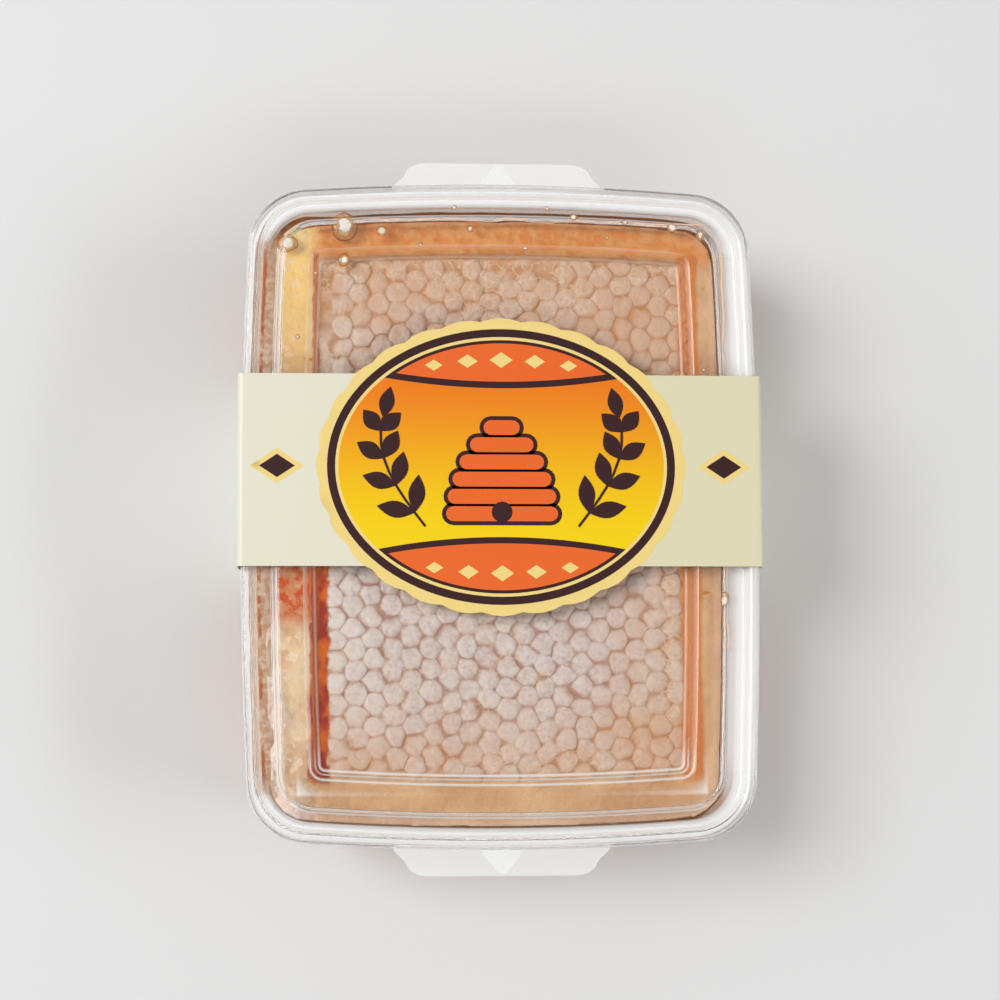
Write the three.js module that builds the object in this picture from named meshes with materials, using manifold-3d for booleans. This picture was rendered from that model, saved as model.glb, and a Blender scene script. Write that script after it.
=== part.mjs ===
// Comb honey in a clear lidded tray, with a card band round its middle.
// Millimetres, +Z up. X runs across the pack and Y along it. The origin is on
// the surface that the pack stands on, below the pack's middle.

import * as THREE from 'three';
import { mergeVertices } from 'three/addons/utils/BufferGeometryUtils.js';
import Module from 'manifold-3d';

const wasm = await Module();
wasm.setup();

// Rim of the pack, seen from above
const rimHalfX = 64.4;
const rimHalfY = 82.9;
const rimCorner = 15;
const sideBowRadius = 1400;
const endBowRadius = 645;
const cornerLossPerMm = 0.74;

// Walls and clearances
const trayWall = 1;
const lidWall = 0.8;
const card = 0.45;
const gap = 0.3;

// Heights above the table
const trayBase = card + gap;
const flangeUnder = 37.2;
const skirtEnd = 35.4;
const shoulderTop = 39.4;
const beadTop = 41.9;
const plateauTop = 41.6;
const panelTop = 38.8;
const bandTop = beadTop + gap + card;

// Insets from the rim's outline
const trayWallInset = 4.4;
const trayDraft = 2.4;
const flangeTipInset = 1.2;
const shoulderStart = 4;
const shoulderEnd = 7.2;
const plateauStart = 8.9;
const plateauEnd = 15.2;
const panelStart = 18.6;

// Lift tabs at the two ends
const tabReach = 6.5;
const tabRootHalf = 26.8;
const tabTipHalf = 22;
const tabCorner = 3.5;
const tabThickness = 0.9;
const tabMarkRootHalf = 5.4;
const tabMarkTipHalf = 0.9;
const tabMarkHeight = 0.35;

// Comb and honey
const cellPitch = 5.4;
const cellTurn = THREE.MathUtils.degToRad(2);
const capRise = 0.8;
const capUneven = 0.35;
const combHalfX = 54;
const combHalfY = 72.5;
const combCorner = 6;
const combBase = trayBase + trayWall + gap;
const combTop = panelTop - lidWall - gap - 0.1;
const cutDepth = 0.7;
const honeyClear = 0.35;

// Card band and its die-cut badge
const bandFarY = 34.4;
const bandNearY = -13.4;
const bandHalfTop = 65.25;
const bandHalfBase = 58.8;
const bandKneeHeight = 35;
const badgeCentreY = 11.4;
const badgeHalfX = 46;
const badgeHalfY = 37.2;
const badgeLobes = 28;
const badgeLobeDepth = 0.8;

// Points along each part of a quarter of an outline
const sideSteps = 4;
const cornerSteps = 6;
const endSteps = 3;

function arcPoints(centre, radius, from, to, steps) {
  const points = [];
  for (let i = 0; i <= steps; i += 1) {
    const angle = from + ((to - from) * i) / steps;
    points.push(new THREE.Vector2(
      centre.x + radius * Math.cos(angle),
      centre.y + radius * Math.sin(angle),
    ));
  }
  return points;
}

// A rectangle whose four sides are shallow arcs, each corner an arc tangent to both.
function bowedRectangle(halfX, halfY, corner) {
  const sideCentre = new THREE.Vector2(halfX - sideBowRadius, 0);
  const endCentre = new THREE.Vector2(0, halfY - endBowRadius);
  const toSide = sideBowRadius - corner;
  const toEnd = endBowRadius - corner;
  const between = endCentre.clone().sub(sideCentre);
  const span = between.length();
  const along = (toSide ** 2 - toEnd ** 2 + span ** 2) / (2 * span);
  const across = Math.sqrt(toSide ** 2 - along ** 2);
  between.normalize();
  const cornerCentre = sideCentre.clone()
    .addScaledVector(between, along)
    .add(new THREE.Vector2(-between.y, between.x).multiplyScalar(across));
  const sideAngle = cornerCentre.clone().sub(sideCentre).angle();
  const endAngle = cornerCentre.clone().sub(endCentre).angle();
  const quarter = [
    ...arcPoints(sideCentre, sideBowRadius, 0, sideAngle, sideSteps),
    ...arcPoints(cornerCentre, corner, sideAngle, endAngle, cornerSteps).slice(1),
    ...arcPoints(endCentre, endBowRadius, endAngle, Math.PI / 2, endSteps).slice(1),
  ];
  const turned = (signX, signY) => quarter.map((p) => new THREE.Vector2(signX * p.x, signY * p.y));
  return [
    ...quarter,
    ...turned(-1, 1).reverse().slice(1),
    ...turned(-1, -1).slice(1),
    ...turned(1, -1).reverse().slice(1, -1),
  ];
}

function rimLoop(inset, z) {
  const corner = rimCorner - cornerLossPerMm * inset;
  const outline = bowedRectangle(rimHalfX - inset, rimHalfY - inset, corner);
  return outline.map((p) => new THREE.Vector3(p.x, p.y, z));
}

function combLoop(clearance, z) {
  const outline = bowedRectangle(
    combHalfX + clearance,
    combHalfY + clearance,
    combCorner + clearance,
  );
  return outline.map((p) => new THREE.Vector3(p.x, p.y, z));
}

function indexedGeometry(positions, triangles) {
  const geometry = new THREE.BufferGeometry();
  geometry.setAttribute('position', new THREE.Float32BufferAttribute(positions, 3));
  geometry.setIndex(triangles);
  return geometry;
}

// Joins loops of equal length in order. Open chains are closed by a fan at each end.
function loft(loops, isRing) {
  const count = loops[0].length;
  const positions = loops.flat().flatMap((p) => [p.x, p.y, p.z]);
  const triangles = [];
  const pairs = isRing ? loops.length : loops.length - 1;
  for (let row = 0; row < pairs; row += 1) {
    const lower = row * count;
    const upper = ((row + 1) % loops.length) * count;
    for (let i = 0; i < count; i += 1) {
      const next = (i + 1) % count;
      triangles.push(lower + i, lower + next, upper + next);
      triangles.push(lower + i, upper + next, upper + i);
    }
  }
  if (!isRing) {
    const firstCentre = positions.length / 3;
    const lastLoop = (loops.length - 1) * count;
    positions.push(0, 0, loops[0][0].z, 0, 0, loops.at(-1)[0].z);
    for (let i = 0; i < count; i += 1) {
      const next = (i + 1) % count;
      triangles.push(firstCentre, next, i);
      triangles.push(firstCentre + 1, lastLoop + i, lastLoop + next);
    }
  }
  return indexedGeometry(positions, triangles);
}

// Moves a path of [inset, z] points sideways. A positive distance is to the left of
// the way the path runs, with the outside of the pack on the right.
function offsetPath(path, distance) {
  const points = path.map(([inset, z]) => new THREE.Vector2(-inset, z));
  const normals = points.slice(1).map((p, i) => {
    const run = p.clone().sub(points[i]).normalize();
    return new THREE.Vector2(-run.y, run.x);
  });
  return points.map((p, i) => {
    const before = normals[Math.max(i - 1, 0)];
    const after = normals[Math.min(i, normals.length - 1)];
    const mitre = before.clone().add(after).divideScalar(1 + before.dot(after));
    const moved = p.clone().addScaledVector(mitre, distance);
    return [-moved.x, moved.y];
  });
}

function toLoops(path) {
  return path.map(([inset, z]) => rimLoop(inset, z));
}

function toManifold(geometry) {
  const plain = geometry.clone();
  plain.deleteAttribute('normal');
  plain.deleteAttribute('uv');
  const merged = mergeVertices(plain, 1e-4);
  return new wasm.Manifold(new wasm.Mesh({
    numProp: 3,
    vertProperties: new Float32Array(merged.attributes.position.array),
    triVerts: new Uint32Array(merged.index.array),
  }));
}

function fromManifold(manifold) {
  const mesh = manifold.getMesh();
  return indexedGeometry(Array.from(mesh.vertProperties), Array.from(mesh.triVerts));
}

// Tray: a drafted, open-topped shell with a flat flange
function makeTray() {
  const outside = [
    [trayWallInset + trayDraft + 3, trayBase],
    [trayWallInset + trayDraft + 1, trayBase + 0.5],
    [trayWallInset + trayDraft, trayBase + 2.4],
    [trayWallInset + 0.4, flangeUnder - 6],
    [trayWallInset, flangeUnder],
    [flangeTipInset, flangeUnder],
  ];
  const inside = offsetPath(outside, trayWall).reverse();
  return loft(toLoops([...outside, ...inside]), false);
}

// Lid: a recessed panel, a sloping plateau, a shoulder, a rolled bead and a skirt
const lidOutside = [
  [panelStart, panelTop],
  [panelStart - 0.6, panelTop + 0.15],
  [plateauEnd + 0.6, plateauTop - 0.25],
  [plateauEnd, plateauTop],
  [plateauStart, plateauTop - 0.4],
  [plateauStart - 0.6, plateauTop - 0.75],
  [shoulderEnd + 0.5, shoulderTop + 0.3],
  [shoulderEnd, shoulderTop],
  [shoulderStart, shoulderTop],
  [shoulderStart - 0.5, shoulderTop + 0.2],
  [2.8, beadTop - 1],
  [2.1, beadTop - 0.2],
  [1.3, beadTop],
  [0.5, beadTop - 0.5],
  [0, beadTop - 1.6],
  [0, skirtEnd],
];
const lidUnderside = offsetPath(lidOutside, -lidWall);

function tabShape() {
  const root = rimHalfY - lidWall - 0.6;
  const tip = rimHalfY + tabReach;
  const shape = new THREE.Shape();
  shape.moveTo(-tabRootHalf, root);
  shape.lineTo(tabRootHalf, root);
  shape.lineTo(tabRootHalf, rimHalfY);
  shape.lineTo(tabTipHalf + tabCorner * 0.5, tip - tabCorner);
  shape.quadraticCurveTo(tabTipHalf + 1, tip - 0.4, tabTipHalf - tabCorner, tip);
  shape.lineTo(tabCorner - tabTipHalf, tip);
  shape.quadraticCurveTo(-tabTipHalf - 1, tip - 0.4, -tabTipHalf - tabCorner * 0.5, tip - tabCorner);
  shape.lineTo(-tabRootHalf, rimHalfY);
  return shape;
}

function tabMarkShape() {
  const shape = new THREE.Shape();
  shape.moveTo(-tabMarkRootHalf, rimHalfY - 0.2);
  shape.lineTo(tabMarkRootHalf, rimHalfY - 0.2);
  shape.lineTo(tabMarkTipHalf, rimHalfY + tabReach - 0.6);
  shape.lineTo(-tabMarkTipHalf, rimHalfY + tabReach - 0.6);
  return shape;
}

function makeLid() {
  const shell = loft(toLoops([...lidUnderside, ...[...lidOutside].reverse()]), false);
  let lid = toManifold(shell);
  const options = { depth: tabThickness, bevelEnabled: false, curveSegments: 5 };
  const markOptions = { ...options, depth: tabThickness + tabMarkHeight };
  for (const turn of [0, Math.PI]) {
    for (const [shape, settings] of [[tabShape(), options], [tabMarkShape(), markOptions]]) {
      const piece = new THREE.ExtrudeGeometry(shape, settings);
      piece.translate(0, 0, skirtEnd);
      piece.rotateZ(turn);
      lid = lid.add(toManifold(piece));
    }
  }
  return fromManifold(lid);
}

// A repeatable draw between -1 and 1, so that every build gives the same comb
function drawFor(column, row) {
  const value = Math.sin(column * 127.1 + row * 311.7) * 43758.5453;
  return 2 * (value - Math.floor(value)) - 1;
}

// A block whose top is a sheet of capped cells: one low six-sided dome for each cell
function cappedBlock() {
  const cellRadius = cellPitch / Math.sqrt(3);
  const columnStep = 1.5 * cellRadius;
  const columns = Math.ceil(combHalfX / columnStep) + 2;
  const rows = Math.ceil(combHalfY / cellPitch) + 3;
  const floor = combBase - 2;
  const positions = [];
  const triangles = [];
  const known = new Map();

  function vertex(x, y, z) {
    const key = `${x.toFixed(3)},${y.toFixed(3)},${z > floor ? 'top' : 'floor'}`;
    if (!known.has(key)) {
      const cos = Math.cos(cellTurn);
      const sin = Math.sin(cellTurn);
      known.set(key, positions.length / 3);
      positions.push(x * cos - y * sin, x * sin + y * cos, z);
    }
    return known.get(key);
  }

  const edges = new Map();
  for (let column = -columns; column <= columns; column += 1) {
    for (let row = -rows; row <= rows; row += 1) {
      const x = column * columnStep;
      const y = (row + (Math.abs(column) % 2) / 2) * cellPitch;
      const rise = combTop - capUneven * (1 + drawFor(column, row)) / 2;
      const peak = vertex(x, y, rise);
      const pit = vertex(x, y, floor);
      for (let side = 0; side < 6; side += 1) {
        const [a, b] = [side, side + 1].map((k) => [
          x + cellRadius * Math.cos((k * Math.PI) / 3),
          y + cellRadius * Math.sin((k * Math.PI) / 3),
        ]);
        const ring = [a, b].map((p) => vertex(p[0], p[1], combTop - capRise));
        const base = [a, b].map((p) => vertex(p[0], p[1], floor));
        triangles.push(peak, ring[0], ring[1]);
        triangles.push(pit, base[1], base[0]);
        const shared = `${ring[1]}-${ring[0]}`;
        if (edges.has(shared)) {
          edges.delete(shared);
        } else {
          edges.set(`${ring[0]}-${ring[1]}`, [ring, base]);
        }
      }
    }
  }
  for (const [ring, base] of edges.values()) {
    triangles.push(base[0], base[1], ring[1]);
    triangles.push(base[0], ring[1], ring[0]);
  }
  return indexedGeometry(positions, triangles);
}

// The knife's outline, which leaves half cells standing along the cut sides
function combCut() {
  const outline = combLoop(0, 0);
  const curve = new THREE.CatmullRomCurve3(outline, true, 'centripetal');
  const length = curve.getLength();
  const flutes = Math.round(length / cellPitch);
  const shape = new THREE.Shape();
  for (let i = 0; i < 2 * flutes; i += 1) {
    const point = curve.getPointAt(i / (2 * flutes));
    const scale = i % 2 === 0 ? 1 : 1 - cutDepth / Math.hypot(point.x, point.y);
    const method = i === 0 ? 'moveTo' : 'lineTo';
    shape[method](point.x * scale, point.y * scale);
  }
  const block = new THREE.ExtrudeGeometry(shape, { depth: beadTop, bevelEnabled: false });
  block.translate(0, 0, combBase);
  return block;
}

function makeComb() {
  return fromManifold(toManifold(cappedBlock()).intersect(toManifold(combCut())));
}

// Honey: it stands round the comb and covers the comb's edge under the lid's plateau
function makeHoney() {
  const wallTop = trayWallInset + trayWall + honeyClear;
  const wallBase = wallTop + trayDraft;
  const underPlateau = plateauTop - lidWall - honeyClear;
  const overComb = combTop + honeyClear;
  const loops = [
    rimLoop(wallBase + 1.4, combBase),
    rimLoop(wallBase, combBase + 2),
    rimLoop(wallTop + 0.4, flangeUnder - 6),
    rimLoop(wallTop, shoulderTop - lidWall - honeyClear),
    rimLoop(plateauStart + 0.2, shoulderTop - lidWall - honeyClear),
    rimLoop(plateauStart + 0.7, underPlateau - 0.4),
    rimLoop(plateauEnd - 0.6, underPlateau - 0.1),
    rimLoop(plateauEnd + 1.2, overComb + 0.6),
    rimLoop(plateauEnd + 1.2, overComb),
    combLoop(honeyClear, overComb),
    combLoop(honeyClear, combBase),
  ];
  return loft(loops, true);
}

function roundedCorners(corners) {
  const path = new THREE.Path();
  const count = corners.length;
  corners.forEach(([x, z, radius], i) => {
    const corner = new THREE.Vector2(x, z);
    const before = new THREE.Vector2(...corners[(i + count - 1) % count]);
    const after = new THREE.Vector2(...corners[(i + 1) % count]);
    const start = before.sub(corner).normalize().multiplyScalar(radius).add(corner);
    const end = after.sub(corner).normalize().multiplyScalar(radius).add(corner);
    if (i === 0) {
      path.moveTo(start.x, start.y);
    } else {
      path.lineTo(start.x, start.y);
    }
    path.quadraticCurveTo(x, z, end.x, end.y);
  });
  return path.getPoints(4);
}

// Band: a closed loop of card, folded round the rim and drawn in under the tray
function bandSection(inset) {
  const right = [
    [bandHalfBase - inset, inset, 1.2],
    [bandHalfTop - inset, bandKneeHeight, 3],
    [bandHalfTop - inset, bandTop - inset, 1.6],
  ];
  const left = right.map(([x, z, radius]) => [-x, z, radius]).reverse();
  return roundedCorners([...right, ...left]);
}

function badgeOutline() {
  const steps = badgeLobes * 4;
  const shape = new THREE.Shape();
  for (let i = 0; i < steps; i += 1) {
    const angle = (i / steps) * 2 * Math.PI;
    const lobe = badgeLobeDepth * (Math.abs(Math.cos((badgeLobes * angle) / 2)) - 1);
    const x = (badgeHalfX + lobe) * Math.cos(angle);
    const y = badgeCentreY + (badgeHalfY + lobe) * Math.sin(angle);
    const method = i === 0 ? 'moveTo' : 'lineTo';
    shape[method](x, y);
  }
  return shape;
}

function makeSleeve() {
  const section = new THREE.Shape(bandSection(0));
  section.holes.push(new THREE.Path(bandSection(card)));
  const band = new THREE.ExtrudeGeometry(section, {
    depth: bandFarY - bandNearY,
    bevelEnabled: false,
  });
  band.rotateX(Math.PI / 2);
  band.translate(0, bandFarY, 0);
  const badge = new THREE.ExtrudeGeometry(badgeOutline(), { depth: card, bevelEnabled: false });
  badge.translate(0, 0, bandTop - card);
  return fromManifold(toManifold(band).add(toManifold(badge)));
}

const clearPlastic = new THREE.MeshStandardMaterial({
  color: 0xf4f5f6,
  roughness: 0.08,
  metalness: 0,
  transparent: true,
  opacity: 0.35,
});
const capWax = new THREE.MeshStandardMaterial({ color: 0xd9c6ba, roughness: 0.55, metalness: 0 });
const amberHoney = new THREE.MeshStandardMaterial({
  color: 0xc98a4e,
  roughness: 0.1,
  metalness: 0,
  transparent: true,
  opacity: 0.8,
});
const creamCard = new THREE.MeshStandardMaterial({ color: 0xe0dec0, roughness: 0.4, metalness: 0 });

function named(name, geometry, material) {
  const mesh = new THREE.Mesh(geometry, material);
  mesh.name = name;
  return mesh;
}

const pack = new THREE.Group();
pack.add(named('tray', makeTray(), clearPlastic));
pack.add(named('lid', makeLid(), clearPlastic));
pack.add(named('comb', makeComb(), capWax));
pack.add(named('honey', makeHoney(), amberHoney));
pack.add(named('sleeve', makeSleeve(), creamCard));

export default pack;
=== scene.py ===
import random
from math import atan2, ceil, cos, hypot, pi, radians, sin, sqrt

import bmesh
import bpy
from mathutils import Matrix, Vector, noise


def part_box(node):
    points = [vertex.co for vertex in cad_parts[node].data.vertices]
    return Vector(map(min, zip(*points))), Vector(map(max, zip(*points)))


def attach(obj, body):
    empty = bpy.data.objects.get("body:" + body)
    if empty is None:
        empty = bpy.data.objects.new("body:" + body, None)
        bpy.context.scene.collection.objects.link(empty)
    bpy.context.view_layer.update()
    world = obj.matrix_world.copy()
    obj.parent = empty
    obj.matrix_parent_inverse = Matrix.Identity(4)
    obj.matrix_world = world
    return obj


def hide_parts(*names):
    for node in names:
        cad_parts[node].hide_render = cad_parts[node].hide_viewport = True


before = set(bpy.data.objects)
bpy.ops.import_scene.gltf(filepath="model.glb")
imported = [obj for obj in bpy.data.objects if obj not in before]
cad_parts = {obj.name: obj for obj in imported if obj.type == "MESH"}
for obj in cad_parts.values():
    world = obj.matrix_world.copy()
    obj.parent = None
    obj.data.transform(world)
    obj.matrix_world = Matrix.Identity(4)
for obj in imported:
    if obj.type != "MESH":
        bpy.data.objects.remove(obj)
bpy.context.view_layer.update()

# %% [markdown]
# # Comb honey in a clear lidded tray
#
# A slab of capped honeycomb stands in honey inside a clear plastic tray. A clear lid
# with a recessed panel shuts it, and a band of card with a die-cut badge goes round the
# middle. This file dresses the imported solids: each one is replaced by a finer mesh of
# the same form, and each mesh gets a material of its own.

MM = 0.001
lid_low, lid_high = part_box("lid")
tray_low, tray_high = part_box("tray")
comb_low, comb_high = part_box("comb")
sleeve_low, sleeve_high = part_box("sleeve")

# %% [markdown]
# ## Camera
#
# The photo looks almost straight down on the pack, from a little to its left and a
# little below its middle. A camera that is fitted to the rim's outline in the photo
# gives the tilt, and a long lens at 0.7 m gives the slight narrowing towards the top.

# %% Camera
VIEW_DISTANCE = 0.7
TILT_FROM_LEFT = radians(4.57)
TILT_FROM_BELOW = radians(6.54)
VIEW_ROLL = radians(0.35)
LENS_MM = 101.7
VIEW_TARGET = Vector((-0.37 * MM, 3.19 * MM, 41 * MM))


def look_down():
    """Place the camera on a line that is tilted from the vertical in X and in Y."""
    camera = bpy.data.objects.new("camera", bpy.data.cameras.new("camera"))
    bpy.context.scene.collection.objects.link(camera)
    camera.data.lens = LENS_MM
    lean_x, lean_y = sin(TILT_FROM_LEFT), sin(TILT_FROM_BELOW)
    view = Vector((lean_x, lean_y, -sqrt(1 - lean_x**2 - lean_y**2)))
    right = view.cross(Vector((sin(VIEW_ROLL), cos(VIEW_ROLL), 0))).normalized()
    up = right.cross(view)
    turn = Matrix((right, up, -view)).transposed().to_4x4()
    camera.matrix_world = Matrix.Translation(VIEW_TARGET - view * VIEW_DISTANCE) @ turn
    bpy.context.scene.camera = camera
    return camera


camera = look_down()
print("camera at", [round(v, 3) for v in camera.location])

# %% [markdown]
# ## Sizes that the pieces share
#
# Everything follows the rim's outline, a rectangle whose sides bow outwards, at some
# inset from it. The frame's boxes give the rim, so that nothing here has to be fitted.

# %% Rim and walls
FLANGE_INSET = lid_high.x - tray_high.x
RIM_HALF_X = lid_high.x
RIM_HALF_Y = tray_high.y + FLANGE_INSET
RIM_CORNER = 15 * MM
CORNER_LOSS = 0.74
LEAST_CORNER = 0.8 * MM
SIDE_BOW_RADIUS = 1.4
END_BOW_RADIUS = 0.645
TRAY_WALL = 1 * MM
LID_WALL = 0.8 * MM
TRAY_BASE = tray_low.z
FLANGE_TOP = tray_high.z
BEAD_TOP = lid_high.z
SKIRT_END = lid_low.z
PANEL_TOP = BEAD_TOP - 3.1 * MM
SHOULDER_TOP = BEAD_TOP - 2.5 * MM
PLATEAU_TOP = BEAD_TOP - 0.3 * MM
PANEL_INSET = 18.35 * MM
PLATEAU_INSET = 15.45 * MM
print("rim in mm:", round(2 * RIM_HALF_X / MM, 1), "by", round(2 * RIM_HALF_Y / MM, 1))

# %% [markdown]
# ## Outlines and profiles
#
# A lathe can't make a tray that isn't round. So a profile, drawn as a few corners that
# get rounded, is carried round the rim's outline: each of its points becomes one edge
# loop, and bmesh bridges each loop to the next.

# %% Outline helpers
SIDE_STEPS = 20
CORNER_STEPS = 14
END_STEPS = 16


def arc_points(centre, radius, start, end, steps):
    angles = [start + (end - start) * i / steps for i in range(steps + 1)]
    return [centre + radius * Vector((cos(a), sin(a))) for a in angles]


def bowed_rectangle(half_x, half_y, corner):
    """A rectangle of four shallow arcs, each corner an arc tangent to both of its sides."""
    side_centre = Vector((half_x - SIDE_BOW_RADIUS, 0))
    end_centre = Vector((0, half_y - END_BOW_RADIUS))
    to_side = SIDE_BOW_RADIUS - corner
    to_end = END_BOW_RADIUS - corner
    between = end_centre - side_centre
    span = between.length
    between.normalize()
    along = (to_side**2 - to_end**2 + span**2) / (2 * span)
    across = sqrt(to_side**2 - along**2)
    corner_centre = side_centre + between * along + Vector((-between.y, between.x)) * across
    to_corner = corner_centre - side_centre
    side_angle = atan2(to_corner.y, to_corner.x)
    to_corner = corner_centre - end_centre
    end_angle = atan2(to_corner.y, to_corner.x)
    quarter = arc_points(side_centre, SIDE_BOW_RADIUS, 0, side_angle, SIDE_STEPS)
    quarter += arc_points(corner_centre, corner, side_angle, end_angle, CORNER_STEPS)[1:]
    quarter += arc_points(end_centre, END_BOW_RADIUS, end_angle, pi / 2, END_STEPS)[1:]
    left = [Vector((-p.x, p.y)) for p in reversed(quarter[:-1])]
    upper = quarter + left
    return upper + [Vector((p.x, -p.y)) for p in reversed(upper[1:-1])]


def rim_loop(inset, height):
    corner = max(RIM_CORNER - CORNER_LOSS * inset, LEAST_CORNER)
    outline = bowed_rectangle(RIM_HALF_X - inset, RIM_HALF_Y - inset, corner)
    return [Vector((p.x, p.y, height)) for p in outline]


# %% Profile helpers
ROUNDING_STEPS = 5


def rounded_path(corners):
    """Round each corner of a path given as (inset, height, radius)."""
    path = []
    for i, (inset, height, radius) in enumerate(corners):
        here = Vector((inset, height))
        if radius == 0:
            path.append(here)
            continue
        start = here + (Vector(corners[i - 1][:2]) - here).normalized() * radius
        end = here + (Vector(corners[i + 1][:2]) - here).normalized() * radius
        for k in range(ROUNDING_STEPS + 1):
            t = k / ROUNDING_STEPS
            path.append(start * (1 - t) ** 2 + here * 2 * t * (1 - t) + end * t**2)
    return path


def moved_corners(corners, distance, radius):
    """The same path beside itself, to its left where the outside of the pack is ahead."""
    points = [Vector((-inset, height)) for inset, height, _ in corners]
    runs = [(b - a).normalized() for a, b in zip(points, points[1:])]
    normals = [Vector((-run.y, run.x)) for run in runs]
    moved = []
    for i, point in enumerate(points):
        before = normals[max(i - 1, 0)]
        after = normals[min(i, len(normals) - 1)]
        place = point + (before + after) * (distance / (1 + before.dot(after)))
        is_end = i in (0, len(points) - 1)
        moved.append((-place.x, place.y, 0 if is_end or not corners[i][2] else radius))
    return moved


# %% Mesh helpers
def edge_ring(bm, points):
    verts = [bm.verts.new(p) for p in points]
    edges = [bm.edges.new((verts[i - 1], verts[i])) for i in range(len(verts))]
    return verts, edges


def skin(bm, loops, is_ring=False):
    """Carry a ring of edges through a row of loops, by extruding it and moving the copy."""
    verts, edges = edge_ring(bm, loops[0])
    start = edges
    for points in loops[1:] + (loops[:1] if is_ring else []):
        made = bmesh.ops.extrude_edge_only(bm, edges=edges)["geom"]
        fresh = {g for g in made if isinstance(g, bmesh.types.BMVert)}
        edges = [g for g in made if isinstance(g, bmesh.types.BMEdge) and fresh.issuperset(g.verts)]
        links = [[e.other_vert(v) for e in v.link_edges] for v in verts]
        verts = [next(v for v in near if v in fresh) for near in links]
        for vert, point in zip(verts, points):
            vert.co = point
    if is_ring:
        bmesh.ops.remove_doubles(bm, verts=bm.verts, dist=1e-6)
    else:
        for ring in (start, edges):
            bmesh.ops.edgeloop_fill(bm, edges=ring)


def finish_piece(bm, name, material, smooth=True):
    """Turn a bmesh into a piece that rides on the pack's one body."""
    bmesh.ops.recalc_face_normals(bm, faces=bm.faces)
    for face in bm.faces:
        face.smooth = smooth
    mesh = bpy.data.meshes.new(name)
    bm.to_mesh(mesh)
    bm.free()
    piece = bpy.data.objects.new(name, mesh)
    bpy.context.scene.collection.objects.link(piece)
    mesh.materials.append(material)
    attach(piece, "root")
    print(name, len(mesh.vertices), "vertices")
    return piece


def even_shading(piece):
    """Let large flat faces keep their own shading where small rounded ones meet them."""
    weighted = piece.modifiers.new("Even shading", "WEIGHTED_NORMAL")
    weighted.mode = "FACE_AREA"
    weighted.keep_sharp = True


# %% [markdown]
# ## Materials
#
# Small helpers keep the node trees short. Each finish then has a cell of its own.

# %% Material helpers
def srgb(red, green, blue):
    """A colour read off a picture, 0 to 255, as the linear colour that shaders use."""
    def linear(value):
        value /= 255
        return value / 12.92 if value <= 0.04045 else ((value + 0.055) / 1.055) ** 2.4
    return (linear(red), linear(green), linear(blue), 1)


def new_material(name):
    material = bpy.data.materials.new(name)
    material.use_nodes = True
    tree = material.node_tree
    return material, tree, tree.nodes["Principled BSDF"], tree.nodes["Material Output"]


def add_node(tree, kind, **values):
    """Add a node. Names of its settings set them, and names of its sockets set their values."""
    node = tree.nodes.new(kind)
    for key, value in values.items():
        if hasattr(node, key):
            setattr(node, key, value)
        else:
            node.inputs[key.replace("_", " ")].default_value = value
    return node


def math_node(tree, operation, first, second=0.0, clamp=False):
    node = tree.nodes.new("ShaderNodeMath")
    node.operation = operation
    node.use_clamp = clamp
    for socket, value in zip(node.inputs, (first, second)):
        if isinstance(value, (int, float)):
            socket.default_value = value
        else:
            tree.links.new(value, socket)
    return node.outputs[0]


def between(tree, value, low, high, out_low=0.0, out_high=1.0):
    """A smooth step from out_low to out_high as value goes from low to high."""
    node = add_node(tree, "ShaderNodeMapRange", interpolation_type="SMOOTHSTEP")
    for socket, number in zip(node.inputs[1:5], (low, high, out_low, out_high)):
        socket.default_value = number
    tree.links.new(value, node.inputs[0])
    return node.outputs[0]


def mixed(tree, share, first, second):
    """Two colours, or a colour and a link, mixed by a share."""
    node = tree.nodes.new("ShaderNodeMix")
    node.data_type = "RGBA"
    for socket, value in ((node.inputs[0], share), (node.inputs[6], first), (node.inputs[7], second)):
        if isinstance(value, (int, float, tuple)):
            socket.default_value = value
        else:
            tree.links.new(value, socket)
    return node.outputs[2]


def stripe(tree, value, low, high, soft):
    """1 between low and high, falling softly to 0 on both sides."""
    rise = between(tree, value, low - soft, low + soft)
    fall = between(tree, value, high - soft, high + soft, 1.0, 0.0)
    return math_node(tree, "MULTIPLY", rise, fall)


def ragged(tree, value, texture, reach):
    """Shift a coordinate by a texture, so that an edge drawn along it is ragged."""
    shift = math_node(tree, "MULTIPLY", math_node(tree, "SUBTRACT", texture, 0.5), 2 * reach)
    return math_node(tree, "ADD", value, shift)


def place(tree):
    """The place on the pack, as separate X, Y and Z, and as one vector."""
    coordinates = tree.nodes.new("ShaderNodeTexCoord")
    parts = tree.nodes.new("ShaderNodeSeparateXYZ")
    tree.links.new(coordinates.outputs["Object"], parts.inputs[0])
    return coordinates.outputs["Object"], parts.outputs


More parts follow.
